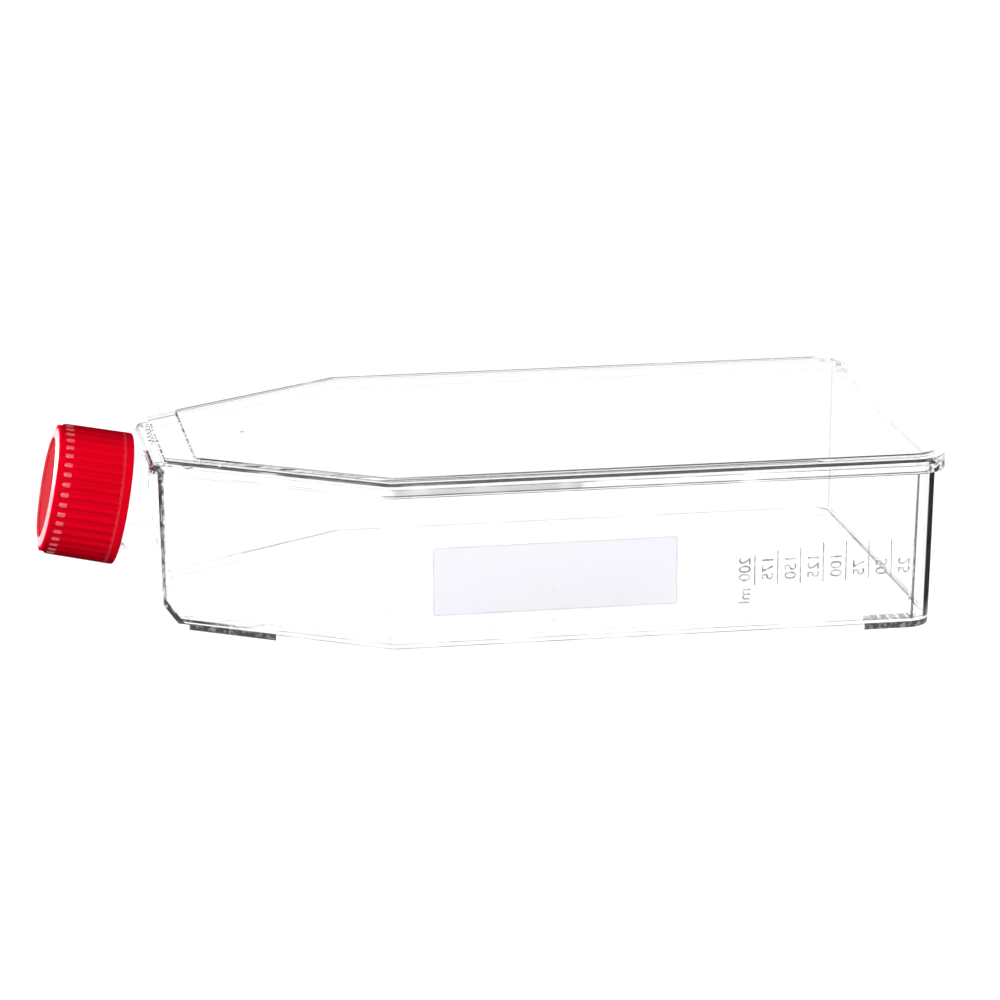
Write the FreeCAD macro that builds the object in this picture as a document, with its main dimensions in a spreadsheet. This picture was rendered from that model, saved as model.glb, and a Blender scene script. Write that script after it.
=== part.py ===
import FreeCAD, Part
import math
import os
import re
import Sketcher

# Cell culture flask of the 175 square centimetre size, lying on its growth floor.
# X runs along the flask with the neck towards -X, Y runs across it and Z is up; sizes are in millimetres.
# The origin is the middle of the whole outline, on the surface that the flask lies on.
# The tray, its plate and the neck are drawn from the front wall's face (x = 0 there) and then moved.

SIZES = [
    # Tray outline, outside the walls at the underside of the flange
    ("body_length", 189.0, "front wall to rear wall"),
    ("body_width", 109.0, "across the two long walls"),
    ("front_width", 40.0, "width of the front wall"),
    ("shoulder_length", 52.9, "length of the tapering front part"),
    ("wall_draft", 1.2, "degrees that the walls lean in towards the floor"),
    ("wall", 1.5, "thickness of the upright walls"),
    ("rear_corner_radius", 6.5, "outside radius of the rear corners"),
    ("shoulder_corner_radius", 3.0, "outside radius where shoulder meets long wall"),
    ("front_corner_radius", 1.8, "outside radius of the front corners"),
    # Heights of the tray
    ("flange_underside", 39.9, "feet to the flange's underside"),
    ("flange_thickness", 2.3, "thickness of the tray's flange"),
    ("flange_overhang", 2.4, "flange beyond the walls"),
    ("front_lip", 2.0, "flange beyond the front wall"),
    ("lip_bevel", 0.9, "bevel on the top edge of the front lip"),
    ("floor_top", 3.5, "feet to the growth surface"),
    ("floor_thickness", 1.3, "thickness of the growth floor"),
    ("floor_fillet", 0.9, "radius between growth floor and walls"),
    ("base_round", 0.6, "radius round the foot of the walls"),
    ("edge_round", 0.3, "radius of the flange's and the plate's outer edges"),
    # Ramp from the growth floor up to the front wall
    ("ramp_length", 4.0, "length of the ramp, outside"),
    ("ramp_height", 6.6, "feet to the top of the ramp, outside"),
    # Rim and feet under the floor
    ("rim_width", 1.5, "width of the rim round the underside"),
    ("foot_height", 1.5, "feet below the rim"),
    ("front_foot_setback", 6.6, "front wall to the front feet"),
    ("front_foot_reach", 20.0, "length of the front feet"),
    ("rear_foot_reach", 18.5, "length of the rear feet along the flask"),
    ("rear_foot_span", 16.0, "length of the rear feet across the flask"),
    # Weld bead between flange and plate
    ("weld_height", 0.1, "height of the bead, which keeps the plate off the flange"),
    ("weld_width", 0.5, "width of the bead"),
    ("weld_inset", 0.7, "bead behind the outside of the walls"),
    # Cover plate
    ("plate_rim_thickness", 1.45, "plate's rim, welded on the flange"),
    ("plate_thickness", 1.5, "thickness of the raised panel"),
    ("plate_setback", 0.45, "plate's front edge behind the front wall's face"),
    ("plate_bevel", 1.15, "bevel on the plate's front edge"),
    ("panel_rise", 0.85, "raised panel above the plate's rim"),
    ("panel_margin", 2.4, "plate's rim beside the raised panel"),
    ("panel_front_margin", 8.25, "plate's rim in front of the raised panel"),
    # Neck
    ("neck_angle", 11.7, "degrees that the neck leans up"),
    ("neck_height", 26.9, "feet to the neck's axis, at the front wall's face"),
    ("neck_radius", 12.5, "outside radius of the neck"),
    ("neck_wall", 1.7, "wall of the neck"),
    ("neck_length", 23.7, "front wall to the mouth, along the neck's axis"),
    ("mouth_bevel", 0.5, "bevel on the mouth's outer edge"),
    # Screw cap
    ("cap_length", 19.2, "cap along its axis"),
    ("cap_skirt_radius", 16.6, "outside radius of the cap at its skirt"),
    ("cap_front_radius", 15.9, "outside radius of the cap at its front edge"),
    ("thread_room", 1.7, "room for the threads between neck and cap"),
    ("cap_bevel_width", 2.9, "bevel round the front face, measured across"),
    ("cap_bevel_depth", 0.8, "bevel round the front face, measured along the axis"),
    ("dish_margin", 0.3, "flat land between bevel and dish"),
    ("dish_depth", 0.4, "depth of the dish in the front face"),
    ("cap_end_wall", 1.5, "cap's end wall under the dish"),
    ("skirt_band", 2.3, "plain band at the skirt"),
    ("skirt_round", 0.5, "radius of the skirt's outer edge"),
    ("rib_count", 40, "grip ribs round the cap"),
    ("rib_height", 0.5, "grip rib above the cap's wall"),
    ("rib_radius", 0.95, "radius of a rib's round back"),
    ("rib_setback", 1.7, "front edge of the cap to the ribs' round ends"),
    # Sealing disc in the cap
    ("seal_thickness", 1.0, "thickness of the sealing disc"),
    ("seal_fit", 0.3, "room round the disc inside the cap"),
    ("seal_gap", 0.1, "room between disc and cap, and between disc and mouth"),
    ("plug_length", 2.6, "length of the plug ring in the mouth"),
    ("plug_wall", 1.1, "wall of the plug ring"),
    ("plug_fit", 0.3, "room between plug ring and neck bore"),
    # Used where shapes are cut and rounded
    ("least_radius", 0.2, "smallest corner radius of an inset outline"),
    ("run_past", 1.0, "how far a cutting shape runs past what it cuts"),
]
ALIASES = {alias for alias, value, meaning in SIZES}
SAME = 0.01  # millimetres within which two places count as one

doc = FreeCAD.newDocument("culture_flask")

sheet = doc.addObject("Spreadsheet::Sheet", "Sizes")
for row, (alias, value, meaning) in enumerate(SIZES, start=1):
    sheet.set(f"A{row}", alias.replace("_", " "))
    sheet.set(f"B{row}", str(value))
    sheet.setAlias(f"B{row}", alias)
    sheet.set(f"C{row}", meaning)
doc.recompute()


def formula(text):
    """Give an expression that reads the sheet, from a formula written with the names of sizes."""
    return re.sub(r"[a-z_]+", lambda word: "Sizes." + word[0] if word[0] in ALIASES else word[0], text)


def number(text):
    """Work out a formula's present value, to choose starting points and to find edges."""
    return float(FreeCAD.Units.Quantity(sheet.evalExpression(formula(text))).Value)


# ---------------------------------------------------------------- drawing helpers


def new_body(label):
    body = doc.addObject("PartDesign::Body", label)
    body.Label = label
    return body


def origin_plane(body, role):
    return next(plane for plane in body.Origin.OriginFeatures if plane.Role == role)


def new_sketch(body, name, role="XY_Plane", height=None):
    """A sketch on one of its body's own origin planes, lifted along the plane's normal."""
    sketch = body.newObject("Sketcher::SketchObject", name)
    sketch.AttachmentSupport = [(origin_plane(body, role), "")]
    sketch.MapMode = "FlatFace"
    if height:
        sketch.setExpression("AttachmentOffset.Base.z", formula(height))
    return sketch


def place_point(sketch, geometry, end, across, up):
    """Hold one end of a line, or an arc's centre, at a place given by two formulas."""
    for kind, text in (("DistanceX", across), ("DistanceY", up)):
        index = sketch.addConstraint(Sketcher.Constraint(kind, -1, 1, geometry, end, number(text)))
        sketch.setExpression(f"Constraints[{index}]", formula(text))


def draw_polygon(sketch, corners):
    """A closed outline of straight lines; each corner is a pair of formulas."""
    points = [FreeCAD.Vector(number(across), number(up), 0) for across, up in corners]
    first = sketch.GeometryCount
    count = len(points)
    for i in range(count):
        sketch.addGeometry(Part.LineSegment(points[i], points[(i + 1) % count]))
    for i in range(count):
        following = first + (i + 1) % count
        sketch.addConstraint(Sketcher.Constraint("Coincident", first + i, 2, following, 1))
    for i, (across, up) in enumerate(corners):
        place_point(sketch, first + i, 1, across, up)


def pad(body, sketch, name, length, downwards=False, draft=None):
    feature = body.newObject("PartDesign::Pad", name)
    feature.Profile = sketch
    feature.Reversed = downwards
    feature.setExpression("Length", formula(length))
    if draft:
        feature.setExpression("TaperAngle", formula(draft))
    doc.recompute()
    return feature


def revolve(body, sketch, name, axis="H_Axis"):
    feature = body.newObject("PartDesign::Revolution", name)
    feature.Profile = sketch
    feature.ReferenceAxis = (sketch, [axis])
    feature.Angle = 360
    doc.recompute()
    return feature


def dress(body, kind, name, feature, edges, size, amount):
    """Fillet or chamfer the named edges; size is the property that holds the amount."""
    dressed = body.newObject(f"PartDesign::{kind}", name)
    dressed.Base = (feature, edges)
    dressed.setExpression(size, formula(amount))
    doc.recompute()
    return dressed


def edge_names(shape, wanted):
    """Names of the edges whose middle and whose ends pass a test."""
    names = []
    for index, edge in enumerate(shape.Edges, start=1):
        middle = edge.valueAt((edge.FirstParameter + edge.LastParameter) / 2)
        ends = [vertex.Point for vertex in edge.Vertexes]
        if wanted(middle, ends):
            names.append(f"Edge{index}")
    return names


# ---------------------------------------------------------------- the flask's outline

SLOPE = "((body_width - front_width) / 2 / shoulder_length)"  # of a shoulder, across over along


def outline(growth, front_growth):
    """The six-sided plan of the flask, moved outwards by growth and forwards by front_growth."""
    side = f"body_width / 2 + {growth}"
    shoulder = f"shoulder_length - ({growth}) * tan(atan({SLOPE}) / 2)"
    front = f"-({front_growth})"
    front_side = f"front_width / 2 + ({growth}) / cos(atan({SLOPE})) - ({front_growth}) * {SLOPE}"
    rear = f"body_length + {growth}"
    near = [(front, f"-({front_side})"), (shoulder, f"-({side})"), (rear, f"-({side})")]
    far = [(rear, side), (shoulder, side), (front, front_side)]
    return near + far


def flask_block(label, start, depth, growth, front_growth, downwards=False, draft=None):
    """A solid on the flask's outline with rounded upright corners."""
    body = new_body(label)
    sketch = new_sketch(body, f"{label}_outline", height=start)
    corners = outline(growth, front_growth)
    draw_polygon(sketch, corners)
    feature = pad(body, sketch, f"{label}_pad", depth, downwards, draft)
    stations = {
        "front_corner_radius": number(corners[0][0]),
        "shoulder_corner_radius": number(corners[1][0]),
        "rear_corner_radius": number(corners[2][0]),
    }
    for radius, station in stations.items():
        others = [place for place in stations.values() if place != station]

        def upright_here(middle, ends):
            rises = abs(ends[0].z - ends[-1].z) > number(depth) / 2
            return rises and all(abs(middle.x - station) < abs(middle.x - other) for other in others)

        edges = edge_names(feature.Shape, upright_here)
        amount = f"max({radius} + {growth}; least_radius)"
        feature = dress(body, "Fillet", f"{label}_{radius}", feature, edges, "Radius", amount)
    return body


def round_edges_at(body, name, height, radius):
    """Round every edge that lies at one height."""
    level = number(height)
    edges = edge_names(
        body.Tip.Shape,
        lambda middle, ends: all(abs(point.z - level) < SAME for point in ends + [middle]),
    )
    return dress(body, "Fillet", name, body.Tip, edges, "Radius", radius)


def cut_across(body, name, corners):
    """Cut a profile, drawn as seen from the side, right across a body."""
    sketch = new_sketch(body, f"{name}_profile", "XZ_Plane")
    draw_polygon(sketch, corners)
    before = body.Tip.Shape.Volume
    cut = body.newObject("PartDesign::Pocket", name)
    cut.Profile = sketch
    cut.Type = "ThroughAll"
    cut.Midplane = True
    doc.recompute()
    if not cut.Shape.Volume < before:
        raise RuntimeError(f"{name} cuts nothing")


RAMP_SLOPE = "((ramp_height - foot_height) / ramp_length)"


def cut_ramp(body, name, lift):
    """Cut away what lies under the ramp's slope, raised by lift."""
    top = f"ramp_height + {lift} + {RAMP_SLOPE} * front_lip"
    bottom = f"ramp_length + ({lift} + foot_height + run_past) / {RAMP_SLOPE}"
    cut_across(body, name, [("-front_lip", "-run_past"), (bottom, "-run_past"), ("-front_lip", top)])


def bevel_front(body, name, front, top, size):
    """Bevel the top edge of a body's front, whose place and height are formulas."""
    ahead = f"{front} - run_past"
    above = f"{top} + run_past"
    behind = f"{front} + {size} + run_past"
    cut_across(body, name, [(ahead, f"{top} - {size} - run_past"), (behind, above), (ahead, above)])


# ---------------------------------------------------------------- the tray, one moulding

FLANGE_TOP = "(flange_underside + flange_thickness)"

walls = flask_block("walls", "flange_underside", "flange_underside", "0", "0", True, "-wall_draft")
round_edges_at(walls, "base_rounding", "0", "base_round")
cut_ramp(walls, "outer_ramp", "0")

relief_sketch = new_sketch(walls, "feet_relief_outline")
FRONT_FEET_END = "front_foot_setback + front_foot_reach"
REAR_FEET_START = "body_length - rear_foot_reach"
HALF_GAP = "(body_width / 2 - rear_foot_span)"
draw_polygon(
    relief_sketch,
    [
        (FRONT_FEET_END, "-body_width"),
        (REAR_FEET_START, "-body_width"),
        (REAR_FEET_START, f"-{HALF_GAP}"),
        ("body_length + run_past", f"-{HALF_GAP}"),
        ("body_length + run_past", HALF_GAP),
        (REAR_FEET_START, HALF_GAP),
        (REAR_FEET_START, "body_width"),
        (FRONT_FEET_END, "body_width"),
    ],
)
draw_polygon(
    relief_sketch,
    [
        ("-front_lip", "-body_width"),
        ("front_foot_setback", "-body_width"),
        ("front_foot_setback", "body_width"),
        ("-front_lip", "body_width"),
    ],
)
relief = walls.newObject("PartDesign::Pocket", "feet_relief")
relief.Profile = relief_sketch
relief.Reversed = True
relief.setExpression("Length", formula("foot_height"))
doc.recompute()

flange = flask_block("flange", "flange_underside", "flange_thickness", "flange_overhang", "front_lip")
round_edges_at(flange, "flange_rounding", "flange_underside", "edge_round")
bevel_front(flange, "lip_bevel_cut", "-front_lip", FLANGE_TOP, "lip_bevel")

chamber = flask_block(
    "chamber", FLANGE_TOP, f"{FLANGE_TOP} - floor_top", "-wall", "-wall", True, "-wall_draft"
)
cut_ramp(chamber, "inner_ramp", f"wall / cos(atan({RAMP_SLOPE}))")
round_edges_at(chamber, "floor_fillets", "floor_top", "floor_fillet")

DRAFT_INSET = "flange_underside * tan(wall_draft)"  # how much smaller the outline is at the feet
underside = flask_block(
    "underside",
    "0",
    "floor_top - floor_thickness",
    f"-(rim_width + {DRAFT_INSET})",
    "-(ramp_length + rim_width)",
)


def lean_with_neck(thing):
    """Turn a body whose X axis is the neck's axis, and set it where that axis meets the front wall."""
    thing.Placement = FreeCAD.Placement(
        FreeCAD.Vector(0, 0, number("neck_height")),
        FreeCAD.Rotation(FreeCAD.Vector(0, 1, 0), number("neck_angle")),
    )
    thing.setExpression("Placement.Base.z", formula("neck_height"))
    thing.setExpression("Placement.Rotation.Angle", formula("neck_angle"))


NECK_ROOT = "(wall + run_past + neck_radius * tan(neck_angle))"  # far enough in to pass the leaning wall
BORE = "(neck_radius - neck_wall)"

neck = new_body("neck")
neck_profile = new_sketch(neck, "neck_profile", "XZ_Plane")
draw_polygon(
    neck_profile,
    [
        (NECK_ROOT, "0"),
        (NECK_ROOT, "neck_radius"),
        ("mouth_bevel - neck_length", "neck_radius"),
        ("-neck_length", "neck_radius - mouth_bevel"),
        ("-neck_length", "0"),
    ],
)
revolve(neck, neck_profile, "neck_turned")
lean_with_neck(neck)

bore = new_body("neck_bore")
bore_profile = new_sketch(bore, "bore_profile", "XZ_Plane")
draw_polygon(
    bore_profile,
    [
        (NECK_ROOT, "0"),
        (NECK_ROOT, BORE),
        ("-neck_length - run_past", BORE),
        ("-neck_length - run_past", "0"),
    ],
)
revolve(bore, bore_profile, "bore_turned")
lean_with_neck(bore)


def joined(label, shapes):
    fuse = doc.addObject("Part::MultiFuse", label)
    fuse.Shapes = shapes
    return fuse


def cut_from(label, base, tool):
    cut = doc.addObject("Part::Cut", label)
    cut.Label = label
    cut.Base = base
    cut.Tool = tool
    doc.recompute()
    return cut


tray = cut_from(
    "flask_tray",
    joined("tray_outside", [walls, flange, neck]),
    joined("tray_inside", [chamber, underside, bore]),
)

# ---------------------------------------------------------------- the cover plate

PLATE_UNDERSIDE = f"({FLANGE_TOP} + weld_height)"

plate_rim = flask_block(
    "plate_rim", PLATE_UNDERSIDE, "plate_rim_thickness", "flange_overhang", "-plate_setback"
)
RIM_TOP = f"({PLATE_UNDERSIDE} + plate_rim_thickness)"
round_edges_at(plate_rim, "plate_rounding", RIM_TOP, "edge_round")
bevel_front(plate_rim, "plate_bevel_cut", "plate_setback", RIM_TOP, "plate_bevel")

PANEL = "(flange_overhang - panel_margin)"
PANEL_FRONT = "-(plate_setback + panel_front_margin)"
panel = flask_block("panel", PLATE_UNDERSIDE, "plate_rim_thickness + panel_rise", PANEL, PANEL_FRONT)
round_edges_at(panel, "panel_rounding", f"{RIM_TOP} + panel_rise", "edge_round")
panel_hollow = flask_block(
    "panel_hollow",
    PLATE_UNDERSIDE,
    "plate_rim_thickness + panel_rise - plate_thickness",
    f"{PANEL} - plate_thickness",
    f"{PANEL_FRONT} - plate_thickness",
)
plate = cut_from("plate", joined("plate_outside", [plate_rim, panel]), panel_hollow)

BEAD = "-weld_inset"
BEAD_INSIDE = "-(weld_inset + weld_width)"
weld_bead = cut_from(
    "weld_bead",
    flask_block("bead_outside", FLANGE_TOP, "weld_height", BEAD, BEAD),
    flask_block("bead_inside", FLANGE_TOP, "weld_height", BEAD_INSIDE, BEAD_INSIDE),
)
cover = joined("cover_plate", [plate, weld_bead])

# ---------------------------------------------------------------- the screw cap

CAP_INSIDE = "(neck_length + 2 * seal_gap + seal_thickness)"  # wall to the cap's end wall, on the axis
CAP_FRONT = f"({CAP_INSIDE} + cap_end_wall + dish_depth)"
CAP_SKIRT = f"({CAP_FRONT} - cap_length)"
CAP_BORE = "(neck_radius + thread_room)"
DISH = "(cap_front_radius - cap_bevel_width - dish_margin)"

cap = new_body("screw_cap")
cap_profile = new_sketch(cap, "cap_profile", "XZ_Plane")
draw_polygon(
    cap_profile,
    [
        (f"-{CAP_SKIRT}", CAP_BORE),
        (f"-{CAP_SKIRT}", "cap_skirt_radius"),
        (f"-({CAP_SKIRT} + skirt_band)", "cap_skirt_radius"),
        (f"-({CAP_SKIRT} + skirt_band)", "cap_skirt_radius - rib_height"),
        (f"-({CAP_FRONT} - cap_bevel_depth)", "cap_front_radius"),
        (f"-{CAP_FRONT}", "cap_front_radius - cap_bevel_width"),
        (f"-{CAP_FRONT}", DISH),
        (f"-({CAP_FRONT} - dish_depth)", DISH),
        (f"-({CAP_FRONT} - dish_depth)", "0"),
        (f"-{CAP_INSIDE}", "0"),
        (f"-{CAP_INSIDE}", CAP_BORE),
    ],
)
cap_shell = revolve(cap, cap_profile, "cap_turned")

skirt_edge = edge_names(
    cap_shell.Shape,
    lambda middle, ends: abs(middle.x - number(f"-{CAP_SKIRT}")) < SAME
    and math.hypot(middle.y, middle.z) > number("cap_skirt_radius") - SAME,
)
dress(cap, "Fillet", "skirt_rounding", cap_shell, skirt_edge, "Radius", "skirt_round")

# One grip rib: a slim round-ended bar, half sunk in the cap's wall and lying along its slight cone.
RIB_CONE = "((cap_skirt_radius - rib_height - cap_front_radius) / (cap_length - skirt_band))"
RIB_DEPTH = "cap_front_radius + rib_height - rib_radius"
rib_start = (f"-({CAP_SKIRT} + skirt_band / 2)", f"{RIB_DEPTH} + {RIB_CONE} * (cap_length - skirt_band / 2)")
rib_end_inset = "(rib_setback + rib_radius)"
rib_end = (f"-({CAP_FRONT} - {rib_end_inset})", f"{RIB_DEPTH} + {RIB_CONE} * {rib_end_inset}")

rib_sketch = new_sketch(cap, "rib_profile", "XZ_Plane")
start = FreeCAD.Vector(number(rib_start[0]), number(rib_start[1]), 0)
centre = FreeCAD.Vector(number(rib_end[0]), number(rib_end[1]), 0)
along = (centre - start).normalize()
outwards = FreeCAD.Vector(along.y, -along.x, 0)
radius = number("rib_radius")
tip = centre + along * radius
shoulder = centre + outwards * radius
heel = start + outwards * radius
bend = centre + (along + outwards).normalize() * radius
rib_sketch.addGeometry(Part.LineSegment(start, tip))
rib_sketch.addGeometry(Part.Arc(shoulder, bend, tip))
rib_sketch.addGeometry(Part.LineSegment(shoulder, heel))
rib_sketch.addGeometry(Part.LineSegment(heel, start))
rib_sketch.addGeometry(Part.LineSegment(start, centre), True)
rib_sketch.addConstraint(
    [
        Sketcher.Constraint("Coincident", 0, 2, 1, 2),
        Sketcher.Constraint("Tangent", 1, 1, 2, 1),
        Sketcher.Constraint("Coincident", 2, 2, 3, 1),
        Sketcher.Constraint("Coincident", 3, 2, 0, 1),
        Sketcher.Constraint("Perpendicular", 0, 3),
        Sketcher.Constraint("Parallel", 0, 2),
        Sketcher.Constraint("PointOnObject", 1, 3, 0),
        Sketcher.Constraint("Coincident", 4, 1, 0, 1),
        Sketcher.Constraint("Coincident", 4, 2, 1, 3),
    ]
)
place_point(rib_sketch, 0, 1, *rib_start)
place_point(rib_sketch, 1, 3, *rib_end)
radius_index = rib_sketch.addConstraint(Sketcher.Constraint("Radius", 1, radius))
rib_sketch.setExpression(f"Constraints[{radius_index}]", formula("rib_radius"))

rib = revolve(cap, rib_sketch, "rib", "Axis0")
ribs = cap.newObject("PartDesign::PolarPattern", "ribs")
ribs.Originals = [rib]
ribs.Axis = (cap_profile, ["H_Axis"])
ribs.Angle = 360
ribs.setExpression("Occurrences", formula("rib_count"))
cap.Tip = ribs
doc.recompute()

# ---------------------------------------------------------------- the sealing disc in the cap

SEAL_RADIUS = f"({CAP_BORE} - seal_fit)"
PLUG_RADIUS = f"({BORE} - plug_fit)"
SEAL_BACK = "(neck_length + seal_gap)"

seal = new_body("cap_seal")
seal_profile = new_sketch(seal, "seal_profile", "XZ_Plane")
draw_polygon(
    seal_profile,
    [
        (f"-({SEAL_BACK} + seal_thickness)", "0"),
        (f"-({SEAL_BACK} + seal_thickness)", SEAL_RADIUS),
        (f"-{SEAL_BACK}", SEAL_RADIUS),
        (f"-{SEAL_BACK}", PLUG_RADIUS),
        ("-(neck_length - plug_length)", PLUG_RADIUS),
        ("-(neck_length - plug_length)", f"{PLUG_RADIUS} - plug_wall"),
        (f"-{SEAL_BACK}", f"{PLUG_RADIUS} - plug_wall"),
        (f"-{SEAL_BACK}", "0"),
    ],
)
revolve(seal, seal_profile, "seal_turned")

# ---------------------------------------------------------------- placing and writing the pieces

lean_with_neck(cap)
lean_with_neck(seal)

# The cap's lowest front corner and the flange's rear edge are the two ends of the flask.
FRONT_REACH = f"({CAP_FRONT} * cos(neck_angle) + (cap_front_radius - cap_bevel_width) * sin(neck_angle))"
REAR_REACH = "(body_length + flange_overhang)"
pieces = [tray, cover, cap, seal]
for piece in pieces:
    piece.setExpression("Placement.Base.x", formula(f"({FRONT_REACH} - {REAR_REACH}) / 2"))
doc.recompute()

for thing in doc.Objects:
    if "Invalid" in thing.State or "Error" in thing.State:
        raise RuntimeError(f"{thing.Label} failed: {thing.State}")

os.makedirs("parts", exist_ok=True)
for piece in pieces:
    shape = piece.Shape
    if shape.isNull() or not shape.isValid() or len(shape.Solids) != 1:
        raise RuntimeError(f"{piece.Label} is not one sound solid")
    shape.exportStep(f"parts/{piece.Label}.step")
    print(f"{piece.Label}: {shape.Volume / 1000:.2f} cubic centimetres")
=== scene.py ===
from math import atan, cos, pi, radians, sin, tan
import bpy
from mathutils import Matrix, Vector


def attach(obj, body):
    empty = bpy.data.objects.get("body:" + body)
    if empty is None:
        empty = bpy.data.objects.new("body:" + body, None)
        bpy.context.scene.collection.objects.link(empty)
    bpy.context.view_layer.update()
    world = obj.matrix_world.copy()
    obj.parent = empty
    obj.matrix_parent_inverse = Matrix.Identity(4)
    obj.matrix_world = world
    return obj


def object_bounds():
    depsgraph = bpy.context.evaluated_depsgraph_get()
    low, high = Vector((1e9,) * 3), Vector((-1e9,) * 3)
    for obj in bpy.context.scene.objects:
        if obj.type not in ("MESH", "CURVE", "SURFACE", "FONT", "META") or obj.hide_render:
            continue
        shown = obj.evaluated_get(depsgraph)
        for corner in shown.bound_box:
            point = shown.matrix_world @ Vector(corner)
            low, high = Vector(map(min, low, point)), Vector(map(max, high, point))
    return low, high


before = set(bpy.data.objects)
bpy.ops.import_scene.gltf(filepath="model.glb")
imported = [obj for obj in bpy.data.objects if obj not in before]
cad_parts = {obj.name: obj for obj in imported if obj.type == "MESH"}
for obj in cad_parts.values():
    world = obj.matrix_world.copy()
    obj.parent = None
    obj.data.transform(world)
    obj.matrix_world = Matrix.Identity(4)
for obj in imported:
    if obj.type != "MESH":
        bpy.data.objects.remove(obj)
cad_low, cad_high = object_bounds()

from types import SimpleNamespace

import bmesh
import bpy
from mathutils import Matrix, Vector

MM = 0.001
scene = bpy.context.scene

# ---------------------------------------------------------------- camera
# A long lens stands a metre off the long side of the flask, a little above the lid and turned
# slightly towards the cap.

CAMERA_PLACE = (-0.16906, -1.04103, 0.30207)
CAMERA_TURN = radians(-9.618)
CAMERA_LEVEL = radians(90.0 - 14.786)
CAMERA_ROLL = radians(-0.2705)
lens = bpy.data.cameras.new("product_camera")
lens.sensor_width = 36.0
lens.lens = 154.6
lens.clip_start = 0.05
lens.clip_end = 60.0
camera = bpy.data.objects.new("product_camera", lens)
camera.matrix_world = (
    Matrix.Translation(CAMERA_PLACE)
    @ Matrix.Rotation(CAMERA_TURN, 4, "Z")
    @ Matrix.Rotation(CAMERA_LEVEL, 4, "X")
    @ Matrix.Rotation(CAMERA_ROLL, 4, "Z")
)
scene.collection.objects.link(camera)
scene.camera = camera

# ---------------------------------------------------------------- studio
# A white sweep: a pale floor that runs on into a white surround, one soft lamp behind the cap and
# a weaker one above the camera. Clear plastic sees the same white as the camera does.

scene.view_settings.view_transform = "Standard"
scene.cycles.max_bounces = 128
scene.cycles.transmission_bounces = 128
scene.cycles.glossy_bounces = 128
scene.cycles.transparent_max_bounces = 12
scene.cycles.diffuse_bounces = 3


def add_node(tree, kind, inputs=None, **settings):
    """Add a shader node; inputs gives each named socket a plain value or the socket that feeds it."""
    made = tree.nodes.new(f"ShaderNode{kind}")
    for name, value in settings.items():
        setattr(made, name, value)
    for name, value in (inputs or {}).items():
        if isinstance(value, bpy.types.NodeSocket):
            tree.links.new(value, made.inputs[name])
        else:
            made.inputs[name].default_value = value
    return made


def math_node(tree, operation, first, second=0.0, limit=False):
    """One step of arithmetic on numbers or sockets."""
    made = add_node(tree, "Math", {0: first, 1: second}, operation=operation, use_clamp=limit)
    return made.outputs[0]


def map_range(tree, value, low, high, smooth=False):
    """0 at low, 1 at high, and in between a straight or a smooth step."""
    kind = "SMOOTHSTEP" if smooth else "LINEAR"
    made = add_node(
        tree, "MapRange", {"Value": value, "From Min": low, "From Max": high}, interpolation_type=kind
    )
    return made.outputs["Result"]


def ramp_by(tree, factor, stops):
    """A colour ramp; stops are pairs of a place from 0 to 1 and a colour."""
    made = add_node(tree, "ValToRGB", {"Fac": factor})
    elements = made.color_ramp.elements
    elements[0].position, elements[0].color = stops[0]
    elements[1].position, elements[1].color = stops[-1]
    for position, colour in stops[1:-1]:
        elements.new(position).color = colour
    return made.outputs["Color"]


def object_place(tree):
    """Outputs X, Y and Z of the place on the object."""
    return add_node(tree, "SeparateXYZ", {0: add_node(tree, "TexCoord").outputs["Object"]}).outputs


def new_material(name, plain_values):
    """A material, its tree and its shader, with plain values on the shader's named sockets."""
    material = bpy.data.materials.new(name)
    material.use_nodes = True
    shader = material.node_tree.nodes["Principled BSDF"]
    for socket, value in plain_values.items():
        shader.inputs[socket].default_value = value
    return material, material.node_tree, shader


def seen_directly(tree, shine=1.0):
    """1 for rays that come from the eye, straight or through clear plastic; shine for reflected ones."""
    ray = add_node(tree, "LightPath").outputs
    reflected = math_node(tree, "MULTIPLY", ray["Is Glossy Ray"], shine)
    straight = math_node(tree, "MAXIMUM", ray["Is Camera Ray"], ray["Is Transmission Ray"])
    return math_node(tree, "MAXIMUM", straight, reflected)


WHITE = (1, 1, 1, 1)
SURROUND_LIGHT = 0.75
world = bpy.data.worlds.new("studio")
world.use_nodes = True
scene.world = world
tree = world.node_tree
tree.nodes.clear()
lighting = add_node(tree, "Background", {"Color": WHITE, "Strength": SURROUND_LIGHT})
backdrop = add_node(tree, "Background", {"Color": WHITE, "Strength": 1.0})
surround = add_node(
    tree, "MixShader", {0: seen_directly(tree), 1: lighting.outputs[0], 2: backdrop.outputs[0]}
)
add_node(tree, "OutputWorld", {"Surface": surround.outputs[0]})

FLOOR_SIZE = 8.0
PALE_GREY = (0.5, 0.5, 0.5, 1)
DARK_CARD = (0.04, 0.04, 0.04, 1)  # beyond the rear wall, seen only in the flask's shine
SHEET_END = 0.110
SHEET_FADE = 0.015
FLOOR_LIFT = 0.60  # added for the eye, so that the lit floor reads as white
floor_mesh = bpy.data.meshes.new("floor")
bm = bmesh.new()
bmesh.ops.create_grid(bm, x_segments=1, y_segments=1, size=FLOOR_SIZE / 2)
bm.to_mesh(floor_mesh)
bm.free()
floor = bpy.data.objects.new("floor", floor_mesh)
scene.collection.objects.link(floor)

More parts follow.
